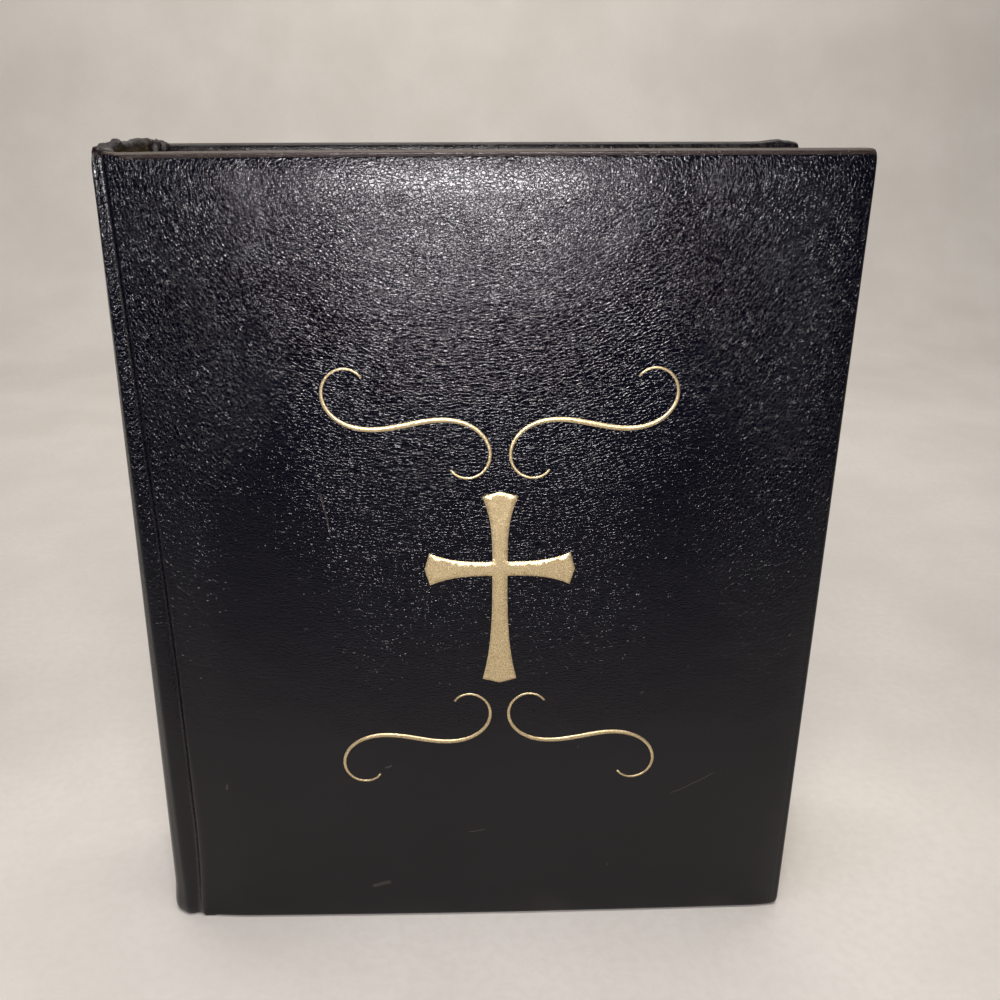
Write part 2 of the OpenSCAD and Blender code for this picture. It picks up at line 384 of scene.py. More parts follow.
def leather_material():
    """Black pebbled leather, driven by the meshes' wear, dust, raw and painted-shadow values, with painted
    shade in its grooves and a painted floor reflection near the tail.
    """
    n = Nodes("black_pebbled_leather")
    place = n.place()
    grain, raised = leather_grain(n, place)
    height = n.add("ShaderNodeSeparateXYZ", Vector=place).outputs["Z"]
    wear, dust, raw, seam = (n.attribute(name) for name in ("wear", "dust", "raw", "seam"))
    blotch = n.noise(place, 260, 4.0, 0.65)
    patch = n.noise(place, 150, 2.0, 0.5)
    worn = n.math("MULTIPLY", wear, n.ramp(blotch, 0.2, 0.6, 0.6, 1.05), clamp=True)
    marks = 0.0
    for start, end, width in SCRATCHES:
        marks = n.most(marks, scratch(n, place, start, end, width))

    color = n.mix(n.noise(place, 30, 2.0), BLACK_DEEP, BLACK_BLUE)
    # painted shade: the cell tops are made lighter than the grooves between them
    color = n.mix(n.ramp(grain, 0.5, 1.0, 0.0, 0.5), color, PAINTED_LIGHT_CREST)
    # painted reflection: the leather lightens towards the tail as if reflecting the pale floor
    color = n.mix(n.ramp(height, 0.14, 0.03, 0.0, 0.7), color, PAINTED_FLOOR_REFLECTION)
    color = n.mix(n.times(marks, 0.7), color, SCRATCHED)
    color = n.mix(n.times(dust, 0.6), color, DUSTY)
    hide = n.mix(n.ramp(patch, 0.48, 0.62), HIDE_DARK, HIDE_LIGHT)
    color = n.mix(n.times(raw, 0.9), color, hide)
    # painted shadow: a matt dark brown line under the head rim
    color = n.mix(seam, color, PAINTED_SHADOW_LINE)
    color = n.mix(n.ramp(worn, 0.15, 0.95), color, WORN_BROWN)

    matt = n.plus(n.times(worn, WORN_ROUGHER), n.times(n.most(seam, raw), TORN_ROUGHER))
    rough = n.plus(n.ramp(grain, 0.2, 0.9, GROOVE_ROUGHNESS, CREST_ROUGHNESS), matt)

    smoother_tail = n.ramp(height, 0.050, 0.125, 0.10, 1.0)
    calm = n.minus(1.0, n.times(n.most(worn, seam), 0.7))
    soft = n.noise(place, 420, 2.0, 0.5)
    relief = n.plus(n.times(raised, n.times(smoother_tail, calm)), n.times(soft, 0.8))
    relief = n.minus(relief, n.times(marks, 0.3))
    return n.finish(color, rough, n.bump(relief, GRAIN_DEPTH, 1.0), Specular_IOR_Level=0.36)


def foil_material():
    n = Nodes("stamped_gold_foil")
    place = n.place()
    specks = n.noise(place, 2600, 3.0, 0.7)
    flakes = n.voronoi(n.warped(place, 900, 0.0007), 1250)
    pits = n.times(n.ramp(specks, 0.35, 0.62), n.ramp(flakes, 0.0, 0.2, 0.7, 1.0))
    color = n.mix(pits, (0.46, 0.33, 0.15), (0.95, 0.79, 0.50))
    rough = n.ramp(specks, 0.3, 0.7, 0.52, 0.30)
    normal = n.bump(n.plus(specks, flakes), 0.00010, 0.8)
    return n.finish(color, rough, normal, Metallic=0.85)


def paper_material(name, light, dark, scale=1.0):
    n = Nodes(name)
    place = n.place()
    fibres = n.noise(n.scaled(place, 1, 1, 3), 900 * scale, 4.0, 0.7)
    age = n.noise(place, 18, 4.0, 0.6)
    foxing = n.ramp(n.noise(place, 160, 2.0), 0.69, 0.78, 0.0, 0.35)
    color = n.mix(n.ramp(age, 0.3, 0.75, 0.0, 0.6), light, dark)
    color = n.mix(foxing, color, (0.45, 0.30, 0.15))
    normal = n.bump(fibres, 0.00004, 0.5)
    return n.finish(color, 0.82, normal, Specular_IOR_Level=0.25)


def gilt_material():
    """Gilding on the edges of the leaves, rubbed thin along the leaves."""
    n = Nodes("gilt_page_edge")
    place = n.place()
    leaves = n.noise(n.scaled(place, 20, 9000, 20), 1.0, 3.0, 0.7)
    rub = n.noise(n.scaled(place, 60, 500, 60), 1.0, 4.0, 0.6)
    thin = n.times(n.ramp(rub, 0.45, 0.8), n.ramp(leaves, 0.4, 0.6, 0.4, 1.0))
    gold = n.mix(leaves, (0.50, 0.36, 0.15), (0.80, 0.62, 0.30))
    color = n.mix(n.times(thin, 0.7), gold, (0.62, 0.52, 0.36))
    rough = n.ramp(leaves, 0.3, 0.7, 0.30, 0.46)
    normal = n.bump(leaves, 0.00012, 0.9)
    return n.finish(color, rough, normal, Metallic=0.75)


def cloth_material(name, light, dark, pitch):
    """A plain weave with threads a pitch apart, in metres."""
    n = Nodes(name)
    place = n.place()
    split = n.add("ShaderNodeSeparateXYZ", Vector=place)
    turn = math.tau / pitch
    across = n.math("SINE", n.times(split.outputs["Y"], turn))
    along = n.math("SINE", n.times(split.outputs["Z"], turn))
    weave = n.math("ABSOLUTE", n.times(across, along))
    fuzz = n.noise(place, 3000, 3.0)
    color = n.mix(n.times(weave, fuzz), light, dark)
    return n.finish(color, 0.9, n.bump(weave, 0.00015, 0.8), Specular_IOR_Level=0.2)


def board_material(name, light, dark):
    n = Nodes(name)
    place = n.place()
    fibre = n.noise(n.scaled(place, 1, 4, 1), 700, 5.0, 0.75)
    speck = n.ramp(n.noise(place, 1900, 2.0), 0.62, 0.7)
    color = n.mix(n.ramp(fibre, 0.3, 0.7), light, dark)
    color = n.mix(n.times(speck, 0.5), color, (0.1, 0.08, 0.05))
    return n.finish(color, 0.9, n.bump(fibre, 0.0001, 0.6), Specular_IOR_Level=0.2)


def band_material():
    """The sewn end band, in turns of gold and dark thread."""
    n = Nodes("woven_end_band")
    place = n.place()
    split = n.add("ShaderNodeSeparateXYZ", Vector=place)
    turns = n.math("SINE", n.times(split.outputs["Y"], math.tau / 0.0016))
    thread = n.math("SINE", n.times(split.outputs["Y"], math.tau / 0.0004))
    color = n.mix(n.ramp(turns, -0.2, 0.2), (0.05, 0.03, 0.02), (0.62, 0.45, 0.16))
    return n.finish(color, 0.6, n.bump(thread, 0.0001, 0.8), Sheen_Weight=0.3)


LEATHER = leather_material()
FOIL = foil_material()
PAGE = paper_material("bible_paper", (0.80, 0.74, 0.62), (0.72, 0.63, 0.47))
ENDPAPER = paper_material("cream_endpaper", (0.60, 0.54, 0.43), (0.52, 0.44, 0.31), 0.6)
GILT = gilt_material()
KRAFT = paper_material("kraft_liner", (0.30, 0.19, 0.10), (0.22, 0.13, 0.065))
BOARD = board_material("grey_board", (0.36, 0.29, 0.20), (0.24, 0.19, 0.13))
CARD = board_material("spine_card", (0.42, 0.34, 0.23), (0.32, 0.25, 0.16))
WADDING = cloth_material("wadding", (0.80, 0.77, 0.70), (0.66, 0.62, 0.54), 0.003)
BAND = band_material()
MULL = cloth_material("open_mull", (0.70, 0.66, 0.55), (0.40, 0.36, 0.28), 0.0016)
TAPE = cloth_material("linen_tape", (0.74, 0.70, 0.60), (0.58, 0.54, 0.44), 0.0009)


# ---------------------------------------------------------------- the outer surface of the case

# The crease between spine and cover: its depth, where it runs at eight heights, and its line's width
CREASE_DROP = 1.0
CREASE_HEIGHTS = (0, 14, 28, 42, 110, 165, 220, 286)
CREASE_OFFSETS = (1.3, 2.2, 3.0, 3.55, 4.45, 4.2, 3.7, 3.1)
CREASE_LINE = 0.42
JOINT_LEATHER = 1.7
# How far the padding thins towards each edge, and how it crowns in the middle and near the tail
EDGE_REACH = 13.0
FORE_THIN, HEAD_THIN, TAIL_THIN = 1.15, 1.2, 0.35
CROWN, TAIL_CROWN, TAIL_CROWN_REACH = 0.35, 0.75, 70
# The face's grid stops this far from the edges, and a superellipse rounds the corners
FACE_INSET = 12.0
CORNER_POWER = 13.0
FORE_EDGE = FORE_X + 0.35
FACE_SEED = {"front": 11, "back": 47}
# How far each cover's head stands off the square line at the hinge and at the fore edge
HEAD_RISE = {"front": (-0.45, 1.4), "back": (-0.2, 0.5)}


def crease_x(z):
    """Where the crease between spine and cover runs: a little nearer the spine at the tail."""
    return JOINT_X + np.interp(z, CREASE_HEIGHTS, CREASE_OFFSETS)


def case_o(x, z):
    """Distance of the outer leather from the middle plane, past the spine's shoulder."""
    u = x - crease_x(z)
    pad = OUTER_O - JOINT_O + CREASE_DROP
    cover_rise = pad * (0.55 * smooth((u + 0.1) / 2.2) + 0.45 * smooth(u / 20))
    spine_rise = CREASE_DROP * (1 - bell(np.minimum(u, 0), 0, 1.5))
    shallow = 0.65 * CREASE_DROP * (1 - smooth(z / 25)) * bell(u, 0, 2.5)
    return JOINT_O - CREASE_DROP + np.where(u > 0, cover_rise, spine_rise) + shallow


def edge_fall(distance):
    """How much of its edge thinning the padding has at that distance from an edge, from 1 to 0."""
    return (1 - np.clip(distance / EDGE_REACH, 0, 1)) ** 2.3


def face_o(x, z, seed):
    """The padded face, thinner towards its edges, with a line pressed in under the head rim."""
    base = case_o(x, z)
    on_cover = smooth((x - COVER_X) / 12)
    at_fore, at_head, at_tail = edge_fall(FORE_EDGE - x), edge_fall(HEIGHT - z), edge_fall(z)
    fall = FORE_THIN * at_fore + HEAD_THIN * at_head + TAIL_THIN * at_tail
    rim_line = 0.30 * bell(HEIGHT - z, 1.2, 0.4) + 0.12 * bell(FORE_EDGE - x, 2.0, 0.7)
    bow = np.sin(np.pi * np.clip((x - COVER_X) / (FORE_EDGE - COVER_X), 0, 1))
    crown = bow * (CROWN + TAIL_CROWN * (1 - smooth(z / TAIL_CROWN_REACH)))
    dents = 0.15 * ripple(x, z, seed, 60) + 0.05 * ripple(x, z, seed + 1, 17)
    inside = 1 - np.clip(at_fore + at_head + at_tail, 0, 1)
    return base + on_cover * (crown - fall - rim_line) + smooth((x - COVER_X) / 25) * inside * dents


def cover_turn(x):
    """Rest angle of a point: the joint stands still, and the cover stands open by the splay."""
    return SPLAY * smooth((x - COVER_X + 2.5) / 2.5)


def head_lift(side, x, o, z):
    """How far the loosened leather at the head of spine and joint stands up, raggedly."""
    back = side == "back"
    reach = 1 - smooth((x - JOINT_X - (6.0 if back else -1.2)) / 1.8)
    across = SIGN[side] * (o + 0.8 * (x - JOINT_X))
    rag = ripple(across, 0 * across, 71, 8) + 0.7 * ripple(across, 0 * across, 72, 3.2)
    base = 0.3 + 1.1 * smooth((SIGN[side] * o + 12) / 20) + 0.9 * smooth((-SIGN[side] * o - 22) / 6)
    torn = 0.5 * np.abs(ripple(across, 0 * across, 75, 5)) - 0.15
    return reach * smooth((z - HEIGHT + 8) / 8) * (base + 0.4 * rag + torn)


def head_slope(side, x, z):
    """How far a cover stretches upwards, from the hinge out to the fore edge and from tail to head."""
    near, far = HEAD_RISE[side]
    out = np.clip((x - COVER_X) / (FORE_X - COVER_X), 0, 1) ** 0.6
    return (near + (far - near) * out) * np.clip(z / HEIGHT, 0, 1)


def corner_fold(side, x, z):
    """The leather fold that stands a little proud of the back cover's head corner."""
    if side == "front":
        return 0.0
    fold = bell(x, FORE_EDGE - 8.5, 4.5) * (1 + 0.3 * ripple(x, z, 81, 4))
    return 0.75 * fold * bell(z, HEIGHT, 4.0)


# (inset from the outline, height between inner and outer face) around a cover's edge
EDGE_PROFILE = (
    (12, 1), (9.6, 1), (7.6, 1), (5.8, 1), (4.4, 1), (3.4, 1), (2.8, 1), (2.35, 1), (1.95, 1), (1.6, 1),
    (1.25, 0.998), (0.95, 0.985), (0.62, 0.955), (0.34, 0.905), (0.14, 0.835), (0.03, 0.74), (0, 0.6),
    (0.03, 0.4), (0.16, 0.22), (0.5, 0.09), (1.1, 0.02), (1.8, 0), (3.5, 0), (6, 0), (10, 0),
)


def outline_points(columns, rows, inset):
    """Points (x, z) round tail, fore edge and head at that inset, in step with the face's grid."""
    reach = FACE_INSET - inset
    turns = np.radians((0, 10, 20, 28, 34, 38.5, 42, 45, 48, 51.5, 56, 62, 70, 80, 90))
    across, up = np.sin(turns), np.cos(turns)
    radius = reach / (across ** CORNER_POWER + up ** CORNER_POWER) ** (1 / CORNER_POWER)
    x_end = FORE_EDGE - FACE_INSET
    tail = [(x, inset) for x in columns[:-1]]
    tail_corner = list(zip(x_end + radius * across, FACE_INSET - radius * up))
    fore = [(FORE_EDGE - inset, z) for z in rows[1:-1]]
    head_corner = [(x, HEIGHT - z) for x, z in reversed(tail_corner)]
    head = [(x, HEIGHT - inset) for x in reversed(columns[:-1])]
    return np.array(tail + tail_corner + fore + head_corner + head)


def skin_thickness(x):
    """From the inner face to the outer one: full over the board, one fold of leather at the joint."""
    return smooth((x - COVER_X + 0.6) / 1.6)


def crease_line(x, z):
    """1 along the crease, fading within half a millimetre."""
    return bell(x, crease_x(z), CREASE_LINE)


def cover_wear(x, z, height, seed):
    """Where the leather is rubbed brown: the head rim, the corners, and a line along the crease."""
    outside = smooth(height * 1.5 + 0.35)
    head = smooth((0.95 - (HEIGHT - z)) / 0.35) * (0.9 + 0.12 * ripple(x, z, seed, 40))
    high = smooth((z - HEIGHT + 70) / 60)
    patchy = 0.8 + 0.4 * ripple(z, x, seed, 25)
    fore = smooth((0.8 - (FORE_EDGE - x)) / 0.7) * (0.12 + 0.5 * high) * patchy
    ends = smooth((5 - np.hypot(FORE_EDGE - x, np.minimum(z, HEIGHT - z))) / 5)
    line = crease_line(x, z) * (0.75 + 0.25 * ripple(z, x, seed + 2, 30))
    return np.clip(outside * (head + fore + 0.5 * ends) + 0.5 * line, 0, 1)


def cover_seam(x, z, height):
    """A painted shadow: the dark line along the groove pressed in under the head rim."""
    under_rim = bell(HEIGHT - z, 1.3, 0.4) * smooth((x - COVER_X) / 3) * (height > 0.9)
    return np.clip(0.9 * under_rim, 0, 1)


def groove_dust(x, z, seed):
    """Grey dust in the lower part of the groove and in a few rubbed places near the tail."""
    u = x - crease_x(z)
    low = smooth((0.36 * HEIGHT - z) / (0.28 * HEIGHT))
    groove = bell(u, 1.2, 1.7) * low
    tail = 0.22 * smooth((14 - z) / 12) * smooth(ripple(x, z, seed, 35))
    return np.clip(0.6 * groove + tail, 0, 1)


def cover_skin(side):
    """The leather over one cover, from the middle of the joint round the edges to the inside."""
    seed = FACE_SEED[side]
    columns = (spread(STRIP_X, COVER_X + 5, 0.35) + spread(COVER_X + 5, COVER_X + 22, 1.2)
               + spread(COVER_X + 22, FORE_EDGE - 24, 2.7)
               + spread(FORE_EDGE - 24, FORE_EDGE - FACE_INSET, 1.5) + [FORE_EDGE - FACE_INSET])
    rows = (spread(FACE_INSET, 24, 1.5) + spread(24, HEIGHT - 24, 2.8)
            + spread(HEIGHT - 24, HEIGHT - FACE_INSET, 1.5) + [HEIGHT - FACE_INSET])
    grid_x, grid_z = (a.ravel() for a in np.meshgrid(columns, rows))
    parts_x, parts_z, heights = [grid_x], [grid_z], [np.ones(grid_x.size)]
    faces = grid_faces(len(rows), len(columns))
    for inset, height in EDGE_PROFILE:
        ring = outline_points(columns, rows, inset)
        parts_x.append(ring[:, 0])
        parts_z.append(ring[:, 1])
        heights.append(np.full(len(ring), float(height)))
    faces += grid_faces(len(EDGE_PROFILE), len(ring), grid_x.size)
    x, z, height = (np.concatenate(p) for p in (parts_x, parts_z, heights))
    outer = face_o(x, z, seed)
    joint_inner = outer - JOINT_LEATHER
    inner = joint_inner + (INNER_O - joint_inner) * skin_thickness(x)
    o = inner + (outer - inner) * height
    lift = head_lift(side, x, o, z)
    slope = head_slope(side, x, z) * smooth((x - STRIP_X) / 6)
    points = to_world(side, x, o, z + lift + corner_fold(side, x, z) + slope, cover_turn(x))
    margin = 0.3 * smooth((16 - (HEIGHT - z)) / 3) * (1 - smooth(height / 0.3))
    attributes = {
        "wear": cover_wear(x, z, height, seed + 5),
        "dust": groove_dust(x, z, seed + 6),
        # a painted shadow line under the head rim
        "seam": cover_seam(x, z, height),
        "raw": np.clip(margin + smooth(lift / 0.8) * smooth((4 - HEIGHT + z) / 4), 0, 1),
    }
    skin = new_mesh(f"{side}_cover_skin", points, faces, [LEATHER], attributes=attributes)
    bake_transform(skin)
    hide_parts(f"{side}_cover_leather")


WADDING_START, WADDING_EDGE = 7, 2.6
UNDER_SKIN, OVER_BOARD = 0.85, 3.12


def wadding(side):
    """The soft layer between board and leather, a little under the skin."""
    seed = FACE_SEED[side]
    columns = np.linspace(COVER_X + WADDING_START, FORE_X - WADDING_EDGE, 46)
    rows = np.linspace(WADDING_EDGE, HEIGHT - WADDING_EDGE, 56)
    x, z = np.meshgrid(columns, rows)
    top = face_o(x, z, seed) - UNDER_SKIN
    base = INNER_O + OVER_BOARD
    top[0], top[-1], top[:, 0], top[:, -1] = base, base, base, base
    upper = to_world(side, x, top, z, SPLAY).reshape(-1, 3)
    lower = to_world(side, x, base, z, SPLAY).reshape(-1, 3)
    count = len(upper)
    faces = grid_faces(len(rows), len(columns))
    faces += [tuple(reversed(f)) for f in grid_faces(len(rows), len(columns), count)]
    piece = new_mesh(f"{side}_wadding", np.vstack([upper, lower]), faces, [WADDING])
    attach(piece, f"{side}_cover")
    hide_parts(f"{side}_padding")


# ---------------------------------------------------------------- spine

SPINE_R = 110.0
SHOULDER_R = 6.5
# How far the head is pressed in, its last few millimetres on top of that, and the tail out
HEAD_SQUEEZE = 4.4
HEAD_PINCH = 1.9
TAIL_BULGE = 3.3
SPINE_SEED = {"front": 5, "back": 23}
CARD_INSETS = (0.9, 1.5)


def spine_path():
    """The case spine's outer profile for one side, as (x, o) and outward direction, up to the strip."""
    centre_x = SPINE_X + SPINE_R
    shoulder_o = JOINT_O - SHOULDER_R
    shoulder_x = centre_x - math.sqrt((SPINE_R - SHOULDER_R) ** 2 - shoulder_o ** 2)
    meet = math.asin(shoulder_o / (SPINE_R - SHOULDER_R))
    arch = [(centre_x - SPINE_R * math.cos(a), SPINE_R * math.sin(a)) for a in np.linspace(0, meet, 22)]
    bend = [(shoulder_x - SHOULDER_R * math.cos(a), shoulder_o + SHOULDER_R * math.sin(a))
            for a in np.linspace(meet, math.pi / 2, 15)[1:]]
    flat = [(x, JOINT_O) for x in spread(shoulder_x, STRIP_X, 0.28)[1:] + [STRIP_X]]
    return np.array(arch + bend + flat)


def spine_shift(z):
    """How far the spine is pressed in: most at its head, and standing out a little at its tail."""
    t = np.asarray(z, float) / HEIGHT
    pinch = HEAD_PINCH * smooth((t - 0.983) / 0.017)
    return HEAD_SQUEEZE * t - TAIL_BULGE * (1 - t) + pinch - 0.9 * smooth((0.05 - t) / 0.05)


def spine_surface(path, z, inset):
    """Points of the spine at height z, set in from the outer face by inset."""
    x, o = path[:, 0], path[:, 1]
    pull = 1 - smooth((x - JOINT_X + 6.2) / 8.5)
    share = (0.35 + 0.65 * smooth(o / 24)) * pull
    x_at = x + spine_shift(z) * share
    settle = smooth((x - JOINT_X + 3.0) / 2.4)
    o_at = o + (case_o(x, z) - o) * settle
    d = np.gradient(np.stack([x_at, o_at], 1), axis=0)
    d /= np.linalg.norm(d, axis=1)[:, None]
    normal = np.stack([-d[:, 1], d[:, 0]], 1)
    normal[0] = (-1, 0)
    return x_at - normal[:, 0] * inset, o_at - normal[:, 1] * inset


# (height over the tail, inset) round the turned-in tail, and the same over the head round the headcap
SPINE_TAIL = (
    (15, 1.9), (8, 1.9), (3.4, 1.9), (1.6, 1.85), (0.6, 1.7), (0.08, 1.42), (0.1, 1.1), (0.4, 0.8),
    (0.95, 0.5), (1.8, 0.26), (3.0, 0.1), (4.6, 0.02),
)
SPINE_HEAD = (
    (-7.5, 0), (-6, 0), (-4.6, 0), (-3.3, 0.02), (-2.2, 0.08), (-1.3, 0.2), (-0.6, 0.45), (-0.15, 0.85),
    (0, 1.3), (-0.1, 1.9), (-0.5, 2.4), (-1.3, 2.7), (-2.6, 2.8), (-5, 2.6), (-10, 2.3), (-16, 2.1),
)


def spine_skin(side):
    """The leather of half the spine, its rounded shoulder and half the joint, turned in at both ends."""
    seed = SPINE_SEED[side]
    path = spine_path()
    path_x, path_o = path[:, 0], path[:, 1]
    signed = SIGN[side] * path_o
    rows = list(SPINE_TAIL)
    rows += [(z, 0) for z in spread(6.2, HEIGHT - 9, 3.2)]
    rows += [(HEIGHT + z, inset) for z, inset in SPINE_HEAD]
    points, wear, dust, seam, raw = [], [], [], [], []
    for z, inset in rows:
        loose = smooth((z - HEIGHT + 13) / 12) * (1 - smooth((path_x - JOINT_X) / 4))
        fold = 0.55 * ripple(signed, 0 * signed + z * 0.8, 73, 9)
        fold = fold + 0.25 * ripple(signed, 0 * signed + z, 74, 3.5)
        push = loose * fold * (1 - 0.85 * smooth((path_o - 13) / 8))
        roll = inset * (1 + 0.6 * loose * (inset > 1.0)) * (1 - 0.45 * loose * smooth((path_o - 22) / 6))
        x, o = spine_surface(path, z, roll + push)
        lift = head_lift(side, path_x, path_o, z)
        points.append(to_world(side, x, o, z + lift))
        line = crease_line(path_x, z) * (0.75 + 0.25 * ripple(0 * path_x + z, path_x, seed, 30))
        worn_end = smooth((1.6 - (HEIGHT - z)) / 0.8) * smooth((2.0 - inset) / 0.6)
        wear.append(np.clip(0.5 * line + 0.35 * worn_end + 0.12 * smooth((1.2 - z) / 1.0), 0, 1))
        dust.append(groove_dust(path_x, z, seed))
        seam.append(0 * path_x)
        tatters = 0.55 + 0.45 * ripple(signed, 0 * signed + z, seed + 9, 6)
        torn = smooth((z - HEIGHT + 2.6) / 2.2) * tatters
        raw.append(np.clip(torn, 0, 1))
    attributes = {"wear": wear, "dust": dust, "seam": seam, "raw": raw}
    skin = new_mesh(f"{side}_spine_skin", np.array(points), grid_faces(len(rows), len(path)), [LEATHER],
                    attributes=attributes)
    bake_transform(skin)
    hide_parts("spine_leather", f"{side}_joint_leather")


def spine_card():
    """The stiffening card, which follows the pressed-in spine."""
    path = spine_path()
    path = path[path[:, 1] < JOINT_O - SHOULDER_R - 1.5]
    heights = np.linspace(2, HEIGHT - 2.5, 30)
    points = []
    for inset in CARD_INSETS:
        for z in heights:
            x, o = spine_surface(path, z, inset)
            half = to_world("back", x, o, z)
            other = to_world("front", x, o, z)[::-1]
            points.append(np.vstack([other[:-1], half]))
    width = len(points[0])
    count = len(heights) * width
    faces = grid_faces(len(heights), width)
    faces += [tuple(reversed(f)) for f in grid_faces(len(heights), width, count)]
    faces += rim_faces(len(heights), width)
    card = new_mesh("spine_card", np.array(points), faces, [CARD])
    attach(card, "spine")
    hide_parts("spine_inlay")


# ---------------------------------------------------------------- endpapers

def paper_sheet(name, side, columns, rows, middle, turn, thickness, material, about=(COVER_X, COVER_O)):
    """A thin closed sheet whose middle distance from the book's plane is a function of x and z."""
    x, z = np.meshgrid(columns, rows)
    o = middle(x, z)
    sheets = [to_world(side, x, o + t, z, turn(x), about).reshape(-1, 3)
              for t in (thickness / 2, -thickness / 2)]
    width, count = len(columns), len(columns) * len(rows)
    faces = grid_faces(len(rows), width) + [tuple(reversed(f)) for f in grid_faces(len(rows), width, count)]
    faces += rim_faces(len(rows), width)
    return new_mesh(name, np.vstack(sheets), faces, [material])


PASTE_MARGIN = 4.2
PASTED_THICK, FREE_THICK = 0.26, 0.22
PAPER_ROWS = 34


def pastedown(side):
    """The pasted endpaper, from the spine's edge across the joint and over the board."""
    fore = FORE_X - PASTE_MARGIN
    columns = spread(JOINT_X + 0.6, COVER_X + 2, 0.5) + spread(COVER_X + 2, fore, 9) + [fore]
    rows = np.linspace(PASTE_MARGIN, HEIGHT - PASTE_MARGIN, PAPER_ROWS)
    joint_o = JOINT_O - CREASE_DROP - 1.25

    def middle(x, z):
        board = INNER_O - 0.18 + 0.03 * ripple(x, z, 91, 25)
        return joint_o + (board - joint_o) * smooth((x - COVER_X + 1.0) / 2.2)

    sheet = paper_sheet(f"{side}_pasted_endpaper", side, columns, rows, middle, cover_turn,
                        PASTED_THICK, ENDPAPER)
    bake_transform(sheet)
    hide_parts(f"{side}_pastedown")


def flyleaf(side):
    """The free half of the endpaper, tipped on to the text block along its spine edge."""
    fore = block_high[0] - 0.5
    columns = spread(JOINT_X + 0.6, LEAF_X + 6, 1.0) + spread(LEAF_X + 6, fore, 7) + [fore]
    rows = np.linspace(SQUARE + 0.3, HEAD - 0.3, PAPER_ROWS)
    lift = SPLAY * LEAF_LIFT

    def middle(x, z):
        wave = 0.05 * ripple(x, z, 61 if side == "front" else 62, 70) * smooth((x - LEAF_X) / 40)
        return LEAF_O - 0.16 + wave

    def turn(x):
        return lift * smooth((x - LEAF_X) / 3)

    sheet = paper_sheet(f"{side}_free_endpaper", side, columns, rows, middle, turn,
                        FREE_THICK, ENDPAPER, about=(LEAF_X, LEAF_O))
    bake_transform(sheet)
    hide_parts(f"{side}_flyleaf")


# ---------------------------------------------------------------- text block

BLOCK_ROUND = 1.5
# Bundles of leaves in one group, and the rows of points up each
LEAVES = 22
LEAF_ROWS = 9
LEAF_BEVEL = 0.06
PAGE_HEIGHT = 279
# The layers on the back keep this far inside the leather, and thin out this near the middle fold
LEATHER_GAP = 0.7
GUTTER_TAPER = 2.6
PRESSED_FLAT = 0.08
BAND_RADIUS, BAND_WIDER = 0.85, 1.25
TAPE_HALF = 7.0
TAPES = [(SQUARE + part * (HEAD - SQUARE) - TAPE_HALF, SQUARE + part * (HEAD - SQUARE) + TAPE_HALF)
         for part in (0.2, 0.5, 0.8)]


def back_x(o):
    """The rounded back of the text block at that distance from the middle plane."""
    return GUTTER_X + BLOCK_ROUND * (np.asarray(o, float) / BLOCK_O) ** 2


def gathering(side, k):
    """One group of gatherings as a pile of thin leaf bundles with uneven, gilt edges."""
    low, high = corner(f"{side}_section_{k}")
    near, far = sorted((abs(low[1]), abs(high[1])))
    page_w = high[0] - low[0]
    rng = np.random.default_rng(100 * k + (side == "back"))
    levels = np.linspace(near, far, LEAVES + 1)
    fore_shift = np.convolve(rng.normal(0, 0.16, LEAVES + 4), np.ones(5) / 5, "valid")
    fore_shift = fore_shift + rng.normal(0, 0.03, LEAVES)
    head_shift = rng.normal(0, 0.05, LEAVES)
    heights = np.linspace(0, 1, LEAF_ROWS)
    points, faces, slots = [], [], []
    for i in range(LEAVES):
        o0, o1 = levels[i], levels[i + 1]
        middle = (o0 + o1) / 2
        x0 = float(back_x(middle))
        x1 = min(x0 + page_w - 0.35 + fore_shift[i], block_high[0] - 0.02)
        z0 = SQUARE + 0.10 + abs(head_shift[i])
        z1 = HEAD - 0.10 - abs(head_shift[-1 - i])
        wave = 0.05 * ripple(heights * PAGE_HEIGHT, 0 * heights + i, 17 + k, 90)
        start = len(points)
        for h, w in zip(heights, wave):
            z = z0 + (z1 - z0) * h
            fore = x1 + w
            ring = ((x0, o0), (fore - LEAF_BEVEL, o0), (fore, o0 + LEAF_BEVEL), (fore, o1 - LEAF_BEVEL),
                    (fore - LEAF_BEVEL, o1), (x0, o1))
            points += [to_world(side, x, o, z) for x, o in ring]
        width = len(ring)
        for r in range(len(heights) - 1):
            for c in range(width):
                a, b = start + r * width + c, start + r * width + (c + 1) % width
                faces.append((a, b, b + width, a + width))
                slots.append(1 if c in (1, 2, 3) else 0)
        faces.append(tuple(start + c for c in range(width)))
        faces.append(tuple(start + (len(heights) - 1) * width + c for c in range(width)))
        slots += [1, 1]
    piece = new_mesh(f"{side}_leaves_{k}", np.array(points), faces, [PAGE, GILT], slots=slots,
                     smooth_shade=False, weld=False)
    piece.data.validate()
    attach(piece, f"{side}_section_{k}")
    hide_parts(f"{side}_section_{k}")


def room_behind(o, z):
    """Free depth between the block's back and the spine leather there, in mm."""
    path = spine_path()
    path = path[path[:, 1] < JOINT_O - 1.0]
    x, path_o = spine_surface(path, z, 0)
    return back_x(o) - np.interp(o, path_o, x) - LEATHER_GAP


